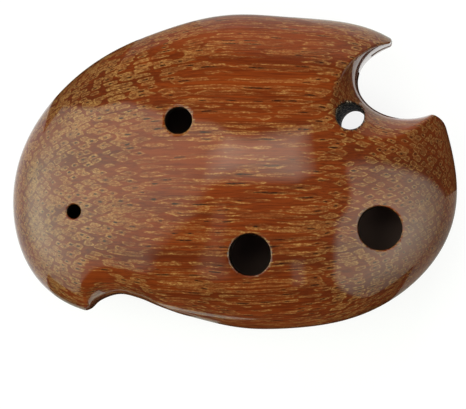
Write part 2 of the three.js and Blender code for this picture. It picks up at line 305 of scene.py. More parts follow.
# Cards round the ocarina: turns from +X where a card starts and ends, its gap from the outline,
# how many lifts it lies over the floor, and its shade
FLOOR_CARDS = {
    "heel_card": (-1, 38, NARROW_GAP, 1, "black"),
    "bite_side_card": (38, 74, NARROW_GAP, 1, "pale"),
    "horn_card": (74, 104, WIDE_GAP, 1, "grey"),
    "back_card": (104, 122, WIDE_GAP, 1, "dim"),
    "corner_card": (122, 152, NARROW_GAP, 1, "black"),
    "front_card": (213, 261, NARROW_GAP, 1, "grey"),
    "front_black_card": (213, 261, BLACK_GAP, 2, "black"),
    "low_card": (260, 320, NARROW_GAP, 1, "black"),
    "right_card": (320, 359, NARROW_GAP, 1, "grey"),
}

# Small sheets on the floor, corner by corner in millimetres: dark in the bite and in the scoop,
# and bright past the scoop
BITE_CARD = ((24, 11), (34, 11), (34, 21), (24, 21))
SCOOP_CARD = ((-32, -22), (-11, -22), (-11, -38), (-32, -38))
GLINT_SHEET = ((-24, -42), (-18, -42), (1, -90), (-13, -90))
SCOOP_LIFT = 3 * CARD_LIFT
GLINT_STRENGTH = 1.4

# Lamp behind the ocarina, which the lacquer doesn't mirror
FILL_PLACE = (0.05, 1.0, 0.55)
FILL_SIZE = 0.7
FILL_POWER = 8.7

# Camera: square over the face, leaning a little towards the heel and the finger rest
CAMERA_AIM = (-0.14 * MM, -6.87 * MM, SEAM_HEIGHT)
CAMERA_LEAN_X = 5.1 * DEGREE
CAMERA_LEAN_Y = 3.6 * DEGREE
CAMERA_DISTANCE = 0.6
CAMERA_LENS = 224.4
CAMERA_SENSOR = 36
CAMERA_CLIP = 0.01

# How finely the wood is carved: cell sizes, steps in tables, margin in cells round a piece, parts
# in which a grid is worked out, and halvings and settlings of a point on the skin
SHELL_CELL = 0.46 * MM
WEDGE_CELL = 0.25 * MM
TABLE_STEPS = 3600
REST_RUN_STEPS = 60
GRID_MARGIN = 1.6
GRID_PARTS = 8
HALVINGS = 4
SETTLINGS = 2

# A corner of the mesh is pulled this much to the middle of its cell's crossings, counts as smooth
# where their directions agree this well, and else takes its direction this far into each face
MIDDLE_PULL = 0.03
SMOOTH_AGREEMENT = 0.985
INTO_FACE = 0.4

# Step by which a direction is felt out, and least values, so that nothing is divided by zero
FEELER = 0.01 * MM
LEAST_DOME_SLOPE = 10
LEAST_LENGTH = 1e-12


# Tables worked out from the sizes

def place(shares):
    """A spot on the seam from its shares of half the length and half the width."""
    return np.array(shares) * HALF_SIZE


def outline_table():
    """Radius of the body's outline over a turn: the smoothest closed wave through the given radii."""
    count = len(OUTLINE_RADIUS_SHARES)
    highest = count // 2
    angles = np.linspace(-math.pi, math.pi, TABLE_STEPS + 1)
    radii = np.zeros_like(angles)
    for number, share in enumerate(OUTLINE_RADIUS_SHARES):
        away = angles - 2 * math.pi * number / count
        weight = 1 + np.cos(highest * away)
        for wave in range(1, highest):
            weight += 2 * np.cos(wave * away)
        radii += share * weight / count
    return angles, radii


def spline_run(points):
    """Centripetal spline through points, with the end points carried on straight."""
    points = np.array(points)
    before_first = 2 * points[0] - points[1]
    after_last = 2 * points[-1] - points[-2]
    padded = np.concatenate([[before_first], points, [after_last]])
    run = []
    for start in range(len(points) - 1):
        a, b, c, d = padded[start:start + 4]
        before = np.linalg.norm(b - a) ** 0.5
        along = np.linalg.norm(c - b) ** 0.5
        after = np.linalg.norm(d - c) ** 0.5
        leave = ((b - a) / before - (c - a) / (before + along) + (c - b) / along) * along
        arrive = ((c - b) / along - (d - b) / (along + after) + (d - c) / after) * along
        cube = 2 * b - 2 * c + leave + arrive
        square = -3 * b + 3 * c - 2 * leave - arrive
        for step in range(REST_RUN_STEPS):
            t = step / REST_RUN_STEPS
            run.append(cube * t ** 3 + square * t ** 2 + leave * t + b)
    run.append(points[-1])
    return np.array(run)


def radius_table(run, centre):
    """Radius of a run of points about a centre, at evenly spaced angles."""
    arms = run - centre
    angles = np.arctan2(arms[:, 1], arms[:, 0])
    order = np.argsort(angles)
    even = np.linspace(-math.pi, math.pi, TABLE_STEPS + 1)
    radii = np.hypot(arms[:, 0], arms[:, 1])[order]
    return even, np.interp(even, angles[order], radii, period=2 * math.pi)


def bite_turn():
    """Matrix that turns the bite's ellipse to its slant."""
    return np.array([[math.cos(BITE_TURN), -math.sin(BITE_TURN)],
                     [math.sin(BITE_TURN), math.cos(BITE_TURN)]])


def bite_run():
    """Points along the waist of the bite."""
    turns = np.linspace(0, 2 * math.pi, TABLE_STEPS)
    along = BITE_HALF_LENGTH * np.cos(turns)
    across = BITE_HALF_WIDTH * np.sin(turns)
    x = along * math.cos(BITE_TURN) - across * math.sin(BITE_TURN)
    y = along * math.sin(BITE_TURN) + across * math.cos(BITE_TURN)
    return np.stack([x, y], 1) + place(BITE_PLACE_SHARES)


def slopes(angles, radii):
    return np.gradient(radii, angles)


def body_outline():
    """Points along the body's outline on the seam, once round."""
    spots = (np.stack([OUTLINE_X, OUTLINE_Y], 1) - OUTLINE_MIDDLE) / OUTLINE_HALF * HALF_SIZE
    return spots[:-1]


def corner_arc(radius, leaving):
    """Centre of the arc that eases the outline into the bite, and the directions in which it ends."""
    edge = body_outline()
    ahead = np.roll(edge, -1, 0) - np.roll(edge, 1, 0)
    inward = np.stack([-ahead[:, 1], ahead[:, 0]], 1) / np.hypot(ahead[:, 0], ahead[:, 1])[:, None]
    inset = edge + inward * radius
    reach = np.array([BITE_HALF_LENGTH, BITE_HALF_WIDTH]) + radius
    turn = bite_turn().T
    arms = (inset - place(BITE_PLACE_SHARES)) @ turn.T
    inside = np.hypot(arms[:, 0] / reach[0], arms[:, 1] / reach[1]) < 1
    before, after = inside, np.roll(inside, -1)
    crossing = np.where(before & ~after if leaving else ~before & after)[0][0]
    to_bite = -(arms[crossing] / reach ** 2) @ turn
    return inset[crossing], -inward[crossing], to_bite / np.linalg.norm(to_bite)


def cord_hole_place():
    """Middle of the cord hole, square off the bite's edge."""
    along = math.cos(CORD_HOLE_TURN)
    across = math.sin(CORD_HOLE_TURN)
    edge = np.array([BITE_HALF_LENGTH * along, BITE_HALF_WIDTH * across])
    square_off = np.array([BITE_HALF_WIDTH * along, BITE_HALF_LENGTH * across])
    edge += square_off / np.linalg.norm(square_off) * (CORD_HOLE_BRIDGE + CORD_HOLE_RADIUS)
    return bite_turn() @ edge + place(BITE_PLACE_SHARES)


OUTLINE_ANGLES, OUTLINE_RADII = outline_table()
OUTLINE_SLOPES = slopes(OUTLINE_ANGLES, OUTLINE_RADII)
OUTLINE_X = OUTLINE_RADII * np.cos(OUTLINE_ANGLES)
OUTLINE_Y = OUTLINE_RADII * np.sin(OUTLINE_ANGLES)
OUTLINE_MIDDLE = np.array([OUTLINE_X.max() + OUTLINE_X.min(), OUTLINE_Y.max() + OUTLINE_Y.min()]) / 2
OUTLINE_HALF = np.array([OUTLINE_X.max() - OUTLINE_X.min(), OUTLINE_Y.max() - OUTLINE_Y.min()]) / 2
REST_CENTRE = place(REST_CENTRE_SHARES)
REST_RUN = spline_run([place(shares) for shares in REST_OUTLINE_SHARES])
REST_TABLE = radius_table(REST_RUN, REST_CENTRE)
BITE_CENTRE = place(BITE_FLARE_CENTRE_SHARES)
BITE_TABLE = radius_table(bite_run(), BITE_CENTRE)
HEEL_ARC = corner_arc(HEEL_EASE, False)
HORN_ARC = corner_arc(HORN_EASE, True)
CORD_HOLE_PLACE = cord_hole_place()


# Solids

def dome(points, front_rise, back_rise, inset):
    """Distance to the skin of the domed body, drawn in from the sides by inset."""
    scale = OUTLINE_HALF / (HALF_SIZE - inset)
    x = points[:, 0] * scale[0] + OUTLINE_MIDDLE[0]
    y = points[:, 1] * scale[1] + OUTLINE_MIDDLE[1]
    angle = np.arctan2(y, x)
    radius = np.interp(angle, OUTLINE_ANGLES, OUTLINE_RADII)
    turn = np.interp(angle, OUTLINE_ANGLES, OUTLINE_SLOPES) / radius
    share = np.hypot(x, y) / radius
    height = points[:, 2] - SEAM_HEIGHT
    rise = np.where(height > 0, front_rise, back_rise)
    level = share ** DOME_FULLNESS + (height / rise) ** RIM_ROUNDNESS - 1
    slope_x = (np.cos(angle) + np.sin(angle) * turn) / radius * scale[0]
    slope_y = (np.sin(angle) - np.cos(angle) * turn) / radius * scale[1]
    sideways = DOME_FULLNESS * share ** (DOME_FULLNESS - 1)
    upwards = RIM_ROUNDNESS * height / rise ** 2
    slope = np.sqrt(sideways ** 2 * (slope_x ** 2 + slope_y ** 2) + upwards ** 2)
    return level / np.maximum(slope, LEAST_DOME_SLOPE)


def flared(points, centre, table, growth, depth, power, extra):
    """Distance to a waisted cutter that grows away from its centre towards both faces."""
    x = points[:, 0] - centre[0]
    y = points[:, 1] - centre[1]
    height = np.abs(points[:, 2] - SEAM_HEIGHT)
    scale = 1 + growth * (height / depth) ** power
    widening = growth * power * (height / depth) ** (power - 1) / depth
    arm = np.maximum(np.hypot(x, y), FEELER)
    angle = np.arctan2(y, x)
    radius = np.interp(angle, table[0], table[1])
    turn = np.interp(angle, table[0], slopes(*table))
    level = arm / scale - radius - extra
    slope = np.sqrt(1 / scale ** 2 + (turn / arm) ** 2 + (arm * widening / scale ** 2) ** 2)
    return level / slope


def bite(points, extra=0.0):
    growth = BITE_FLARE / BITE_HALF_LENGTH
    return flared(points, BITE_CENTRE, BITE_TABLE, growth, BITE_FLARE_DEPTH, BITE_FLARE_POWER, extra)


def finger_rest(points, extra=0.0):
    return flared(points, REST_CENTRE, REST_TABLE, REST_FLARE_SHARE, REST_FLARE_DEPTH,
                  REST_FLARE_POWER, extra)


def corner_kept(points, arc, radius):
    """Distance to the skin of an eased corner, and far inside everywhere but in the corner itself."""
    centre, first, second = arc
    x = points[:, 0] - centre[0]
    y = points[:, 1] - centre[1]
    opening = first[0] * second[1] - first[1] * second[0]
    along_first = (x * second[1] - y * second[0]) / opening
    along_second = (first[0] * y - first[1] * x) / opening
    away = np.hypot(x, y)
    in_corner = (along_first > 0) & (along_second > 0) & (away < radius + CORNER_REACH)
    return np.where(in_corner, away - radius, -BODY_LENGTH)


def bore(points, centre, radius):
    """Distance to the wall of a round hole from face to face."""
    return np.hypot(points[:, 0] - centre[0], points[:, 1] - centre[1]) - radius


def windway_frame(points):
    """Distance from the horn's tip along the windway, height over the seam, and distance to one side."""
    tip = place(HORN_TIP_SHARES)
    x = points[:, 0] - tip[0]
    y = points[:, 1] - tip[1]
    along = x * math.cos(WINDWAY_TURN) + y * math.sin(WINDWAY_TURN)
    across = y * math.cos(WINDWAY_TURN) - x * math.sin(WINDWAY_TURN)
    return along, points[:, 2] - SEAM_HEIGHT, across


def largest(*levels):
    """What all of the given solids share."""
    result = levels[0]
    for level in levels[1:]:
        result = np.maximum(result, level)
    return result


def rounded(first, second, radius):
    """What two solids share, with a rounded edge where their skins cross."""
    u = np.maximum(first + radius, 0)
    v = np.maximum(second + radius, 0)
    return np.minimum(-radius, np.maximum(first, second)) + np.hypot(u, v)


def windway_lean():
    """Share of an upright distance that is square to the falling windway."""
    return math.cos(math.atan(WINDWAY_DROP / WINDWAY_LENGTH))


def channel(points):
    """Channel for the windway and its wedge, open upwards."""
    along, height, across = windway_frame(points)
    floor = -WINDWAY_DROP * along / WINDWAY_LENGTH - WINDWAY_HEIGHT
    return largest(along - WINDWAY_LENGTH, (floor - height) * windway_lean(),
                   np.abs(across) - WINDWAY_WIDTH / 2)


def voice_window(points):
    """Window through the back, and the ramp that runs out from its sounding edge."""
    along, height, across = windway_frame(points)
    edge = -WINDWAY_DROP - WINDWAY_HEIGHT / 2
    fall = (BACK_RISE + edge) / RAMP_LENGTH
    lip = WINDWAY_LENGTH + WINDOW_LENGTH
    shaft = largest(along - lip, height)
    under_ramp = (height - edge + (along - lip) * fall) / math.hypot(1, fall)
    opening = np.minimum(shaft, largest(under_ramp, height - edge))
    return largest(opening, WINDWAY_LENGTH - along, np.abs(across) - WINDWAY_WIDTH / 2)


def windway_housing(points):
    """Wood that the chamber leaves round the windway."""
    along, _, across = windway_frame(points)
    return largest(along - WINDWAY_LENGTH, np.abs(across) - WINDWAY_WIDTH / 2 - WINDWAY_CHEEK)


def chamber(points):
    """The hollow inside both shells."""
    inner = dome(points, FRONT_RISE - FACE_WALL, BACK_RISE - FACE_WALL, SIDE_WALL)
    neck = bore(points, CORD_HOLE_PLACE, CORD_HOLE_RADIUS + CORD_HOLE_WALL)
    return largest(inner, -bite(points, SIDE_WALL), -finger_rest(points, SIDE_WALL), -neck,
                   -windway_housing(points))


def carved_body(points, holes):
    """Both shells as one: dome, bite, finger rest, cord hole and the given holes."""
    solid = dome(points, FRONT_RISE, BACK_RISE, 0)
    solid = rounded(solid, -points[:, 2], REST_EDGE_ROUND)
    solid = rounded(solid, -finger_rest(points), REST_EDGE_ROUND)
    solid = rounded(solid, -bite(points), BITE_EDGE_ROUND)
    solid = np.maximum(solid, corner_kept(points, HEEL_ARC, HEEL_EASE))
    solid = np.maximum(solid, corner_kept(points, HORN_ARC, HORN_EASE))
    solid = rounded(solid, -bore(points, CORD_HOLE_PLACE, CORD_HOLE_RADIUS), HOLE_EDGE_ROUND)
    for diameter, shares in holes:
        solid = rounded(solid, -bore(points, place(shares), diameter / 2), HOLE_EDGE_ROUND)
    return np.maximum(solid, -chamber(points))


def front_shell(points):
    return np.maximum(carved_body(points, FINGER_HOLES), SEAM_HEIGHT - points[:, 2])


def back_shell(points):
    solid = np.maximum(carved_body(points, THUMB_HOLES), points[:, 2] - SEAM_HEIGHT)
    return largest(solid, -channel(points), -voice_window(points))


def wedge(points):
    """Wedge that fills the channel down to the windway, flush with the horn and the bite."""
    along, height, across = windway_frame(points)
    under = (-WINDWAY_DROP * along / WINDWAY_LENGTH - height) * windway_lean()
    side = np.abs(across) - WINDWAY_WIDTH / 2 + BLOCK_CLEARANCE
    bar = largest(BLOCK_SETBACK - along, along - WINDWAY_LENGTH, height + BLOCK_CLEARANCE, under, side)
    return largest(bar, dome(points, FRONT_RISE, BACK_RISE, 0), -bite(points))


# Carving

def outward(solid, points):
    """Unit direction out of a solid at each point."""
    steps = np.eye(3) * FEELER
    found = np.stack([solid(points + step) - solid(points - step) for step in steps], 1)
    return found / np.maximum(np.linalg.norm(found, axis=1, keepdims=True), LEAST_LENGTH)


def skin_points(solid, start, end, start_level):
    """Where each line from start to end crosses the skin, by halving and one straight step."""
    near, far = start.copy(), end.copy()
    near_level, far_level = start_level.copy(), solid(end)
    for _ in range(HALVINGS):
        middle = (near + far) / 2
        level = solid(middle)
        same = (level < 0) == (near_level < 0)
        near[same], near_level[same] = middle[same], level[same]
        far[~same], far_level[~same] = middle[~same], level[~same]
    share = near_level / np.where(near_level == far_level, 1, near_level - far_level)
    return near + (far - near) * np.clip(share, 0, 1)[:, None]


def carve(solid, low, high, cell):
    """Corners, four-sided faces and smoothness of the skin of a solid, with its sharp edges kept.

    Each cell of a grid that the skin passes through gets one corner, where the planes at its
    crossings meet best. Each crossed line of the grid gets one face between its four cells.
    """
    low = np.array(low) - GRID_MARGIN * cell
    counts = np.ceil((np.array(high) + GRID_MARGIN * cell - low) / cell).astype(int) + 1
    ticks = [low[axis] + cell * np.arange(counts[axis]) for axis in range(3)]
    grid = np.stack(np.meshgrid(*ticks, indexing="ij"), -1).reshape(-1, 3)
    levels = np.concatenate([solid(part) for part in np.array_split(grid, GRID_PARTS)]).reshape(counts)
    strides = np.array([counts[1] * counts[2], counts[2], 1])
    hits, normals, cells = [], [], []
    for axis in range(3):
        first = np.take(levels, range(counts[axis] - 1), axis)
        second = np.take(levels, range(1, counts[axis]), axis)
        spots = np.argwhere((first < 0) != (second < 0))
        start = low + spots * cell
        ahead = np.eye(3)[axis] * cell
        start_level = first[tuple(spots.T)]
        hit = skin_points(solid, start, start + ahead, start_level)
        side, other = (axis + 1) % 3, (axis + 2) % 3
        here = spots @ strides
        around = np.stack([here, here - strides[side], here - strides[side] - strides[other],
                           here - strides[other]], 1)
        around[start_level >= 0] = around[start_level >= 0][:, ::-1]
        hits.append(hit)
        normals.append(outward(solid, hit))
        cells.append(around)
    hits = np.repeat(np.concatenate(hits), 4, 0)
    normals = np.repeat(np.concatenate(normals), 4, 0)
    used, faces = np.unique(np.concatenate(cells), return_inverse=True)
    faces = faces.reshape(-1, 4)
    owner = faces.ravel()
    count = np.bincount(owner)[:, None]

    def gather(values):
        return np.stack([np.bincount(owner, weights=column) for column in values.T], 1)

    middle = gather(hits) / count
    mean = gather(normals) / count
    offset = np.einsum("ij,ij->i", normals, hits - middle[owner])
    aim = gather(normals * offset[:, None])
    squares = normals[:, :, None] * normals[:, None, :]
    matrix = gather(squares.reshape(-1, 9)).reshape(-1, 3, 3) + np.eye(3) * MIDDLE_PULL
    corners = middle + np.linalg.solve(matrix, aim[:, :, None])[:, :, 0]
    index = np.stack([used // strides[0], used % strides[0] // strides[1], used % strides[1]], 1)
    corner_low = low + index * cell
    corners = np.clip(corners, corner_low, corner_low + cell)
    smooth = np.linalg.norm(mean, axis=1) > SMOOTH_AGREEMENT
    for _ in range(SETTLINGS):
        moved = corners[smooth]
        moved = moved - outward(solid, moved) * np.clip(solid(moved), -cell / 2, cell / 2)[:, None]
        corners[smooth] = moved
    return corners, faces, smooth


def corner_normals(solid, corners, faces, smooth):
    """Direction of the skin at each face's corners, taken a little inside the face at a sharp edge."""
    found = outward(solid, corners)[faces]
    sharp = ~smooth[faces]
    centres = np.repeat(corners[faces].mean(1)[:, None, :], 4, 1)
    inner = corners[faces] * (1 - INTO_FACE) + centres * INTO_FACE
    found[sharp] = outward(solid, inner[sharp])
    return found.reshape(-1, 3)


def new_object(name, data):
    made = bpy.data.objects.new(name, data)
    bpy.context.scene.collection.objects.link(made)
    return made


def new_piece(name, solid, low, high, cell, masks, material, replaced):
    """A carved piece of the ocarina, with its masks kept on its corners."""
    corners, faces, smooth = carve(solid, low, high, cell)
    mesh = bpy.data.meshes.new(name)
    mesh.from_pydata(corners.tolist(), [], faces.tolist())
    mesh.shade_smooth()
    mesh.normals_split_custom_set(corner_normals(solid, corners, faces, smooth).tolist())
    found = {mask_name: mask(corners) for mask_name, mask in masks.items()}
    found["end_grain"] = np.clip(outward(solid, corners)[:, 0] / END_GRAIN_FACING, -1, 1)
    for mask_name, values in found.items():
        attribute = mesh.attributes.new(mask_name, "FLOAT", "POINT")
        attribute.data.foreach_set("value", values.astype(np.float32))
    mesh.materials.append(material)
    piece = new_object(name, mesh)
    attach(piece, "root")
    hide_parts(replaced)


# Masks

def near_skin(level, reach):
    """1 on a cutter's skin, falling to 0 at a reach to either side of it."""
    return np.clip(1 - np.abs(level) / reach, 0, 1)


def bore_mask(holes):
    """Mask of the bored walls, which take painted shade: the cord hole and the given holes, below their
    rounded edges.
    """

    def mask(points):
        depth = -dome(points, FRONT_RISE, BACK_RISE, 0)
        walls = near_skin(bore(points, CORD_HOLE_PLACE, CORD_HOLE_RADIUS), BORE_REACH)
        for diameter, shares in holes:
            walls = np.maximum(walls, near_skin(bore(points, place(shares), diameter / 2), BORE_REACH))
        below_edge = np.clip((depth - BORE_SHADE_START) / BORE_SHADE_EASE, 0, 1)
        return np.minimum(walls * BORE_STEEPNESS, 1) * below_edge

    return mask


def hollow_mask(points):
    """Mask of the chamber's walls and of the cut voice, which carry no lacquer."""
    windway = np.maximum(channel(points), points[:, 2] - SEAM_HEIGHT)
    cut = np.minimum(chamber(points), np.minimum(windway, voice_window(points)))
    return near_skin(cut, HOLLOW_REACH)


# Materials

def add(tree, kind, **values):
    """A node with its settings and the plain values of its named sockets."""
    made = tree.nodes.new(kind)
    for name, value in values.items():
        if hasattr(made, name):
            setattr(made, name, value)
        else:
            made.inputs[name.replace("_", " ")].default_value = value
    return made


def join(tree, *pairs):
    for output, socket in pairs:
        tree.links.new(output, socket)


def feed(tree, sockets, parts):
    """Gives each socket its part, which is a plain value or another node's output."""
    for socket, part in zip(sockets, parts):
        if isinstance(part, (int, float, tuple)):
            socket.default_value = part
        else:
            tree.links.new(part, socket)


def maths(tree, operation, *parts, clamp=False):
    """Output of a sum whose parts are plain numbers or other outputs."""
    made = add(tree, "ShaderNodeMath", operation=operation, use_clamp=clamp)
    feed(tree, made.inputs, parts)
    return made.outputs[0]


def spread(tree, value, low, high, to_low=0.0, to_high=1.0):
    """A value brought smoothly from one range to another, and held at its ends."""
    made = add(tree, "ShaderNodeMapRange", interpolation_type="SMOOTHSTEP")
    names = ("Value", "From Min", "From Max", "To Min", "To Max")
    feed(tree, [made.inputs[name] for name in names], (value, low, high, to_low, to_high))
    return made.outputs["Result"]


def blend(tree, factor, first, second):
    """Colour between two colours, each a plain colour or an output."""
    made = add(tree, "ShaderNodeMix", data_type="RGBA")
    feed(tree, (made.inputs[0], made.inputs[6], made.inputs[7]), (factor, first, second))
    return made.outputs[2]


def colour(red, green, blue):
    """Linear colour from the 0 to 255 values seen on a screen."""
    def line(value):
        share = value / 255
        return share / 12.92 if share <= 0.04045 else ((share + 0.055) / 1.055) ** 2.4
    return (line(red), line(green), line(blue), 1.0)


def stretched(tree, place_out, scales):
    """A place scaled each way."""
    made = add(tree, "ShaderNodeVectorMath", operation="MULTIPLY")
    feed(tree, made.inputs, (place_out, scales))
    return made.outputs[0]


def wandered(tree, place_out, scales, reach):
    """A place in millimetres, moved across the fibres by a slow noise."""
    wave = noise(tree, stretched(tree, place_out, scales), 1.0, WANDER_DETAIL)
    made = add(tree, "ShaderNodeVectorMath", operation="MULTIPLY_ADD")
    feed(tree, made.inputs, (wave.outputs["Color"], (0, reach, reach), place_out))
    return made.outputs[0]


def noise(tree, vector, scale, detail, roughness=0.5):
    made = add(tree, "ShaderNodeTexNoise", Scale=scale, Detail=detail, Roughness=roughness)
    tree.links.new(vector, made.inputs["Vector"])
    return made


def grain_noise(tree, grain, scales, detail, roughness):
    """A noise that changes at its own speeds along, across and up the fibres."""
    return noise(tree, stretched(tree, grain, scales), 1.0, detail, roughness).outputs["Fac"]


def split_place(tree, place_out):
    made = tree.nodes.new("ShaderNodeSeparateXYZ")
    tree.links.new(place_out, made.inputs[0])
    return made.outputs


def wood_group():
    """Solid wood whose fibres run along X, with a vessel in the middle of each pale lozenge.

    A cut along the fibres shows long thin streaks and short dark dashes. A cut across them shows
    rows of small ringed diamonds.
    """
    tree = bpy.data.node_groups.new("lozenge_grained_hardwood", "ShaderNodeTree")
    face = tree.interface
    face.new_socket("Place", in_out="INPUT", socket_type="NodeSocketVector")
    for name in SHELL_COLOURS:
        face.new_socket(name, in_out="INPUT", socket_type="NodeSocketColor")
    for name in ("Lozenge Amount", "End Grain"):
        face.new_socket(name, in_out="INPUT", socket_type="NodeSocketFloat")
    face.new_socket("Colour", in_out="OUTPUT", socket_type="NodeSocketColor")
    face.new_socket("Height", in_out="OUTPUT", socket_type="NodeSocketFloat")
    into = tree.nodes.new("NodeGroupInput").outputs
    out = tree.nodes.new("NodeGroupOutput").inputs

    # Fibres wander a little from the straight, in long waves and short ones
    grain = wandered(tree, in_millimetres(tree, into["Place"]), *LONG_WANDER)
    grain = wandered(tree, grain, *SHORT_WANDER)

    # Across the grain: a staggered lattice of diamonds, each a little out of its place
    _, across, up = split_place(tree, grain)
    across = maths(tree, "MULTIPLY", across, 1 / LOZENGE_WIDTH)
    up = maths(tree, "MULTIPLY", up, 1 / LOZENGE_HEIGHT)
    lattice = tree.nodes.new("ShaderNodeCombineXYZ")
    join(tree, (maths(tree, "ADD", across, up), lattice.inputs[0]),
         (maths(tree, "SUBTRACT", across, up), lattice.inputs[1]))
    cells = add(tree, "ShaderNodeTexVoronoi", voronoi_dimensions="2D", distance="MINKOWSKI",
                Scale=1.0, Exponent=LOZENGE_SHAPE, Randomness=LOZENGE_DISORDER)
    tree.links.new(lattice.outputs[0], cells.inputs["Vector"])
    away = cells.outputs["Distance"]
    chances = tree.nodes.new("ShaderNodeSeparateColor")
    tree.links.new(cells.outputs["Color"], chances.inputs[0])
    size_chance, pore_chance, filling_chance = chances.outputs

    # Skin cut across the fibres, towards the heel and towards the far end
    heel_side = maths(tree, "MAXIMUM", into["End Grain"], 0.0)
    far_side = maths(tree, "MAXIMUM", maths(tree, "MULTIPLY", into["End Grain"], -1.0), 0.0)
    either_side = maths(tree, "ADD", heel_side, far_side)

    # Lozenges come thick in some rings and thin in others, and end along the fibre
    ring = grain_noise(tree, grain, *RING_NOISE)
    ending = grain_noise(tree, grain, *ENDING_NOISE)
    size = maths(tree, "MULTIPLY_ADD", size_chance, LOZENGE_BY_CHANCE, LOZENGE_SIZE)
    for value, weight in ((ring, LOZENGE_BY_RING), (ending, LOZENGE_BY_ENDING)):
        size = maths(tree, "MULTIPLY_ADD", maths(tree, "SUBTRACT", value, NOISE_MIDDLE), weight, size)
    size = maths(tree, "ADD", size, into["Lozenge Amount"])
    size = maths(tree, "MULTIPLY_ADD", far_side, LOZENGE_BY_FAR_END, size)
    inner = maths(tree, "SUBTRACT", size, away)

    # A lozenge has a pale rim round a middle that is filled more or less
    filled = maths(tree, "MULTIPLY_ADD", filling_chance, FILLING_BY_CHANCE, ring)
    filled = spread(tree, filled, *LOZENGE_FILLING)
    filled = maths(tree, "MULTIPLY_ADD", far_side, FILLING_BY_FAR_END, filled)
    lozenge = spread(tree, inner, *LOZENGE_EDGE)
    mottle = grain_noise(tree, grain, *MOTTLE_NOISE)
    speck = grain_noise(tree, grain, *SPECK_NOISE)
    for value, bounds in ((inner, (*LOZENGE_RIM, filled)), (mottle, LOZENGE_MOTTLE),
                          (speck, LOZENGE_SPECK)):
        lozenge = maths(tree, "MULTIPLY", lozenge, spread(tree, value, *bounds))

    # Vessels: open pores that come and go along the fibre
    opening = grain_noise(tree, grain, *PORE_NOISE)
    pore = spread(tree, maths(tree, "MULTIPLY_ADD", pore_chance, PORE_BY_CHANCE, opening), *PORE_SIZE)
    vessel = spread(tree, maths(tree, "SUBTRACT", pore, away), *PORE_EDGE)
    vessel = maths(tree, "MULTIPLY", vessel, spread(tree, mottle, *PORE_MOTTLE))

    # Fibres: broad bands, fine lines and hairs
    band = grain_noise(tree, grain, *BAND_NOISE)
    fine = grain_noise(tree, grain, *FINE_NOISE)
    hair = grain_noise(tree, grain, *HAIR_NOISE)
    shade = maths(tree, "MULTIPLY", band, BAND_IN_SHADE)
    shade = maths(tree, "MULTIPLY_ADD", fine, FINE_IN_SHADE, shade)
    shade = maths(tree, "MULTIPLY_ADD", hair, HAIR_IN_SHADE, shade)
    shade = spread(tree, shade, *FIBRE_SHADE)
    fibre = blend(tree, shade, into["Dark Fibre"], into["Light Fibre"])

    # Fine lines break the lozenges into threads, less so where the fibres are cut across
    thread = spread(tree, fine, *STREAK_THREAD)
    thread = maths(tree, "MAXIMUM", thread, spread(tree, either_side, *END_THREAD))
    painted = blend(tree, maths(tree, "MULTIPLY", lozenge, thread), fibre, into["Pale Lozenge"])
    darker = maths(tree, "MULTIPLY_ADD", heel_side, HEEL_SHADE,
                   maths(tree, "MULTIPLY", far_side, FAR_END_SHADE))
    painted = blend(tree, darker, painted, into["Vessel"])
    painted = blend(tree, vessel, painted, into["Vessel"])
    relief = maths(tree, "SUBTRACT", maths(tree, "MULTIPLY", fine, FINE_IN_RELIEF), vessel)
    join(tree, (painted, out["Colour"]), (relief, out["Height"]))
    return tree


def in_millimetres(tree, place_out):
    return stretched(tree, place_out, (1 / MM, 1 / MM, 1 / MM))


def place_output(tree):
    return tree.nodes.new("ShaderNodeTexCoord").outputs["Object"]


def mask_output(tree, name):
    made = tree.nodes.new("ShaderNodeAttribute")
    made.attribute_name = name
    return made.outputs["Fac"]


def new_material(name):
    material = bpy.data.materials.new(name)
    material.use_nodes = True
    tree = material.node_tree
    return material, tree, tree.nodes["Principled BSDF"]


def grain_node(tree, group, colours, amount):
    """The wood group, with its colours for one finish."""
    made = tree.nodes.new("ShaderNodeGroup")
    made.node_tree = group
    for name, seen in colours.items():
        made.inputs[name].default_value = colour(*seen)
    made.inputs["Lozenge Amount"].default_value = amount
    join(tree, (place_output(tree), made.inputs["Place"]),
         (mask_output(tree, "end_grain"), made.inputs["End Grain"]))
    return made.outputs["Colour"], made.outputs["Height"]


def add_relief(tree, skin, relief, strength, distance):
    bump = add(tree, "ShaderNodeBump", Strength=strength, Distance=distance)
    join(tree, (relief, bump.inputs["Height"]), (bump.outputs["Normal"], skin.inputs["Normal"]))


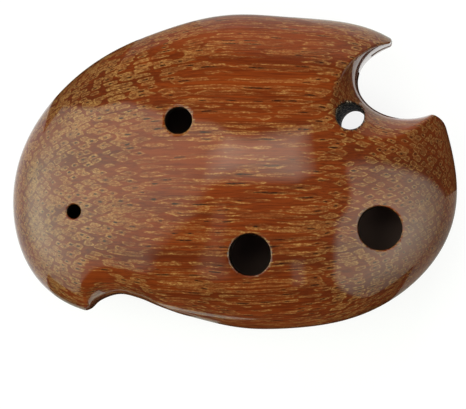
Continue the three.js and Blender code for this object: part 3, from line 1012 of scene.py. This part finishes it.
def lacquered_wood(group):
    """Shells: lacquered outside, with painted shade and no lacquer in the bores, bare in the chamber, and
    a fine dark glue line.
    """
    material, tree, skin = new_material("lacquered_hardwood")
    wood, relief = grain_node(tree, group, SHELL_COLOURS, 0.0)
    bare = mask_output(tree, "bare")
    shaded_bore = mask_output(tree, "shaded_bore")
    unlacquered = maths(tree, "MAXIMUM", bare, shaded_bore)
    place_out = in_millimetres(tree, place_output(tree))

    # Painted shade on the bore walls, near black, with light flecks in the cord hole
    bore_noise = noise(tree, place_out, *BORE_SHADE_NOISE).outputs["Fac"]
    bore_shade = blend(tree, spread(tree, bore_noise, *BORE_SHADE_RANGE), colour(*DARK_BORE_SHADE), colour(*LIGHT_BORE_SHADE))
    fleck = maths(tree, "MULTIPLY", spread(tree, bore_noise, *FLECK_RANGE), mask_output(tree, "flecked"))
    bore_shade = blend(tree, fleck, bore_shade, colour(*FLECK_COLOUR))
    painted = blend(tree, bare, wood, colour(*CHAMBER_COLOUR))
    painted = blend(tree, shaded_bore, painted, bore_shade)

    # Glue line at the seam
    _, _, up = split_place(tree, place_output(tree))
    off_seam = maths(tree, "ABSOLUTE", maths(tree, "SUBTRACT", up, SEAM_HEIGHT))
    painted = blend(tree, spread(tree, off_seam, *GLUE_RANGE), painted, colour(*GLUE_COLOUR))

    # Lacquer, and the smeared gloss of the wood under it
    lacquer = maths(tree, "SUBTRACT", 1.0, unlacquered, clamp=True)
    smear = noise(tree, place_out, *SMEAR_NOISE).outputs["Fac"]
    rough = maths(tree, "MULTIPLY_ADD", unlacquered, BARE_ROUGHNESS, spread(tree, smear, *SMEAR_RANGE))
    add_relief(tree, skin, relief, *LACQUERED_RELIEF)
    join(tree, (painted, skin.inputs["Base Color"]), (rough, skin.inputs["Roughness"]),
         (lacquer, skin.inputs["Coat Weight"]))
    skin.inputs["Specular IOR Level"].default_value = UNDER_LACQUER_GLOSS
    skin.inputs["Coat Roughness"].default_value = LACQUER_ROUGHNESS
    skin.inputs["Coat IOR"].default_value = LACQUER_IOR
    return material


def bare_wood(group):
    """Wedge: sanded wood without lacquer, worn smooth by the breath."""
    material, tree, skin = new_material("bare_hardwood")
    wood, relief = grain_node(tree, group, WEDGE_COLOURS, WEDGE_LOZENGE_AMOUNT)
    rough = spread(tree, relief, *SANDED_RANGE)
    add_relief(tree, skin, relief, *SANDED_RELIEF)
    join(tree, (wood, skin.inputs["Base Color"]), (rough, skin.inputs["Roughness"]))
    return material


def matt_material(name, shade, roughness):
    """Grey with no gloss, for the floor and the cards."""
    material, tree, skin = new_material(name)
    skin.inputs["Base Color"].default_value = (shade, shade, shade, 1)
    skin.inputs["Roughness"].default_value = roughness
    skin.inputs["Specular IOR Level"].default_value = 0.0
    return material, tree, skin


def floor_material():
    """White paper that keeps the ocarina's shadow, and lets a view from beneath through."""
    material, tree, skin = matt_material("white_paper", FLOOR_WHITE, PAPER_ROUGHNESS)
    glow = add(tree, "ShaderNodeEmission", Color=(1, 1, 1, 1))
    strength = maths(tree, "MULTIPLY_ADD", seen_directly(tree), FLOOR_GLOW - FLOOR_BOUNCE, FLOOR_BOUNCE)
    join(tree, (strength, glow.inputs["Strength"]))
    both = tree.nodes.new("ShaderNodeAddShader")
    through = tree.nodes.new("ShaderNodeBsdfTransparent")
    choose = tree.nodes.new("ShaderNodeMixShader")
    behind = tree.nodes.new("ShaderNodeNewGeometry")
    join(tree, (skin.outputs[0], both.inputs[0]), (glow.outputs[0], both.inputs[1]),
         (behind.outputs["Backfacing"], choose.inputs[0]), (both.outputs[0], choose.inputs[1]),
         (through.outputs[0], choose.inputs[2]),
         (choose.outputs[0], tree.nodes["Material Output"].inputs["Surface"]))
    return material


def seen_directly(tree):
    """1 for rays from the camera, and for those that a mirror or a glass sends on."""
    path = tree.nodes.new("ShaderNodeLightPath")
    mirrored = maths(tree, "MAXIMUM", path.outputs["Is Camera Ray"], path.outputs["Is Glossy Ray"])
    return maths(tree, "MAXIMUM", mirrored, path.outputs["Is Transmission Ray"])


def window_light():
    """Daylight through a cloth, as strong at each corner of the sheet as its mask says."""
    material, tree, skin = new_material("window_light")
    tree.nodes.remove(skin)
    glow = add(tree, "ShaderNodeEmission", Color=DAYLIGHT)
    clear = tree.nodes.new("ShaderNodeBsdfTransparent")
    both = tree.nodes.new("ShaderNodeAddShader")
    join(tree, (mask_output(tree, "strength"), glow.inputs["Strength"]),
         (glow.outputs[0], both.inputs[0]), (clear.outputs[0], both.inputs[1]),
         (both.outputs[0], tree.nodes["Material Output"].inputs["Surface"]))
    return material


# Stage: windows and cards round the ocarina

def towards(tilt, turn):
    """Unit direction from the ocarina, by its tilt from straight up and its turn from +X."""
    tilt, turn = tilt * DEGREE, turn * DEGREE
    return Vector((math.sin(tilt) * math.cos(turn), math.sin(tilt) * math.sin(turn), math.cos(tilt)))


def sheet(name, rows, material, values=None):
    """A sheet through rows of corners, with a value at each corner."""
    count = len(rows[0])
    mesh = bpy.data.meshes.new(name)
    faces = []
    for row in range(len(rows) - 1):
        for column in range(count - 1):
            first = row * count + column
            faces.append((first, first + 1, first + count + 1, first + count))
    mesh.from_pydata([tuple(corner) for row in rows for corner in row], [], faces)
    if values is not None:
        attribute = mesh.attributes.new("strength", "FLOAT", "POINT")
        attribute.data.foreach_set("value", [value for row in values for value in row])
    mesh.materials.append(material)
    made = new_object(name, mesh)
    return made


def window_row(tilt, turns, strengths):
    """Corners across a window at one tilt, and their strengths."""
    first, start, end, last = turns
    at_start, in_middle, at_end = strengths
    found = [first]
    values = [0.0]
    for step in range(WINDOW_COLUMNS + 1):
        share = 2 * step / WINDOW_COLUMNS
        found.append(start + (end - start) * step / WINDOW_COLUMNS)
        if share < 1:
            values.append(at_start + (in_middle - at_start) * bell(share))
        else:
            values.append(at_end + (in_middle - at_end) * bell(2 - share))
    found.append(last)
    values.append(0.0)
    return [towards(tilt, turn) * WINDOW_REACH for turn in found], values


def bell(share):
    """A share of the way, with a soft start and end."""
    return share * share * (3 - 2 * share)


def window(name, table, material):
    rows = [window_row(*row) for row in table]
    light_only(sheet(name, [row[0] for row in rows], material, [row[1] for row in rows]))


def pane(name, across, up, strength, material):
    """A small window overhead, with soft edges."""
    rows = []
    for y in up:
        tilts = [math.hypot(x, y) for x in across]
        turns = [math.degrees(math.atan2(y, x)) for x in across]
        rows.append([towards(tilt, turn) * PANE_REACH for tilt, turn in zip(tilts, turns)])
    inside = [0, strength, strength, 0]
    outside = [0, 0, 0, 0]
    light_only(sheet(name, rows, material, [outside, inside, inside, outside]))


def light_only(made):
    """A window lights the ocarina and shows in its lacquer, and the camera looks past it."""
    made.visible_camera = False
    made.visible_shadow = False
    made.visible_transmission = False


def make_fill():
    """A soft lamp that the lacquer doesn't mirror."""
    data = bpy.data.lights.new("fill", "AREA")
    data.energy = FILL_POWER
    data.size = FILL_SIZE
    lamp = new_object("fill", data)
    lamp.location = FILL_PLACE
    lamp.rotation_euler = Vector(FILL_PLACE).to_track_quat("Z", "Y").to_euler()
    lamp.visible_glossy = False


def only_mirrored(card):
    """A card hides the room from the lacquer, and takes no light from anything else."""
    card.visible_camera = False
    card.visible_diffuse = False
    card.visible_shadow = False
    card.visible_transmission = False


def make_canopy(material):
    """Dark cloth over the whole set, behind the windows, down to the floor."""
    rows = [[towards(tilt, turn) * CANOPY_REACH for turn in CANOPY_TURNS] for tilt in CANOPY_TILTS]
    only_mirrored(sheet("canopy", rows, material))


def make_floor_card(name, start, end, gap, lift, material):
    """A card just over the floor round part of the ocarina, out to the canopy."""
    rows = [[], []]
    for turn in range(start, end + 1, CARD_STEP):
        edge = outline_spot(turn * DEGREE)
        away = Vector((math.cos(turn * DEGREE), math.sin(turn * DEGREE), 0))
        rows[0].append(Vector((edge[0], edge[1], lift)) + away * gap)
        rows[1].append(Vector((0, 0, lift)) + away * CANOPY_REACH)
    only_mirrored(sheet(name, rows, material))


def floor_sheet(name, corners, lift, material, strength=0.0):
    """A small sheet on the floor, through four corners in millimetres."""
    spots = [Vector((x * MM, y * MM, lift)) for x, y in corners]
    return sheet(name, [spots[:2], [spots[3], spots[2]]], material, [[strength] * 2] * 2)


def outline_spot(turn):
    """Spot on the body's outline at a turn from +X."""
    turn = (turn + math.pi) % (2 * math.pi) - math.pi
    x = np.interp(turn, OUTLINE_ANGLES, OUTLINE_X)
    y = np.interp(turn, OUTLINE_ANGLES, OUTLINE_Y)
    return (np.array([x, y]) - OUTLINE_MIDDLE) / OUTLINE_HALF * HALF_SIZE


def make_floor():
    rows = [[(x, y, FLOOR_DROP) for x in (-FLOOR_HALF, FLOOR_HALF)] for y in (-FLOOR_HALF, FLOOR_HALF)]
    sheet("floor", rows, floor_material())


def make_world():
    world = bpy.data.worlds.new("studio")
    bpy.context.scene.world = world
    world.use_nodes = True
    tree = world.node_tree
    back = tree.nodes["Background"]
    back.inputs["Color"].default_value = (1, 1, 1, 1)
    strength = maths(tree, "MULTIPLY_ADD", seen_directly(tree), 1 - ROOM_LIGHT, ROOM_LIGHT)
    join(tree, (strength, back.inputs["Strength"]))


def make_stage():
    make_floor()
    make_world()
    daylight = window_light()
    for name, table in WINDOWS.items():
        window(name, table, daylight)
    for name, (across, up, strength) in PANES.items():
        pane(name, across, up, strength, daylight)
    make_fill()
    cards = {}
    for name, shade in CARD_SHADES.items():
        cards[name] = matt_material(name + "_card", shade, CARD_ROUGHNESS)[0]
    make_canopy(cards["black"])
    for name, (start, end, gap, lifts, shade) in FLOOR_CARDS.items():
        make_floor_card(name, start, end, gap, lifts * CARD_LIFT, cards[shade])
    only_mirrored(floor_sheet("bite_card", BITE_CARD, CARD_LIFT, cards["black"]))
    only_mirrored(floor_sheet("scoop_card", SCOOP_CARD, SCOOP_LIFT, cards["black"]))
    light_only(floor_sheet("glint_sheet", GLINT_SHEET, SCOOP_LIFT, daylight, GLINT_STRENGTH))


def make_camera():
    data = bpy.data.cameras.new("camera")
    data.lens = CAMERA_LENS
    data.sensor_width = CAMERA_SENSOR
    data.clip_start = CAMERA_CLIP
    camera = new_object("camera", data)
    back = Vector((math.tan(CAMERA_LEAN_X), -math.tan(CAMERA_LEAN_Y), 1)).normalized()
    right = Vector((0, 1, 0)).cross(back).normalized()
    up = back.cross(right)
    turn = Matrix((right, up, back)).transposed().to_4x4()
    camera.matrix_world = Matrix.Translation(Vector(CAMERA_AIM) + back * CAMERA_DISTANCE) @ turn
    bpy.context.scene.camera = camera


def new_shell(name, solid, bottom, top, holes, material, replaced):
    """One half of the body, carved between two heights, with its own holes."""
    low = (*-HALF_SIZE, bottom)
    high = (*HALF_SIZE, top)
    cell = SHELL_CELL
    # The bores' mask carries their painted shade
    masks = {"bare": hollow_mask, "shaded_bore": bore_mask(holes), "flecked": bore_mask([])}
    new_piece(name, solid, low, high, cell, masks, material, replaced)


def main():
    group = wood_group()
    lacquered = lacquered_wood(group)
    top = SEAM_HEIGHT + FRONT_RISE
    new_shell("front_shell_wood", front_shell, SEAM_HEIGHT, top, FINGER_HOLES, lacquered, "front_shell")
    new_shell("back_shell_wood", back_shell, 0, SEAM_HEIGHT, THUMB_HOLES, lacquered, "back_shell")
    low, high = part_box("fipple_block")
    new_piece("fipple_block_wood", wedge, low, high, WEDGE_CELL, {}, bare_wood(group),
              "fipple_block")
    make_stage()
    make_camera()
    bpy.context.scene.view_settings.view_transform = "Standard"


main()
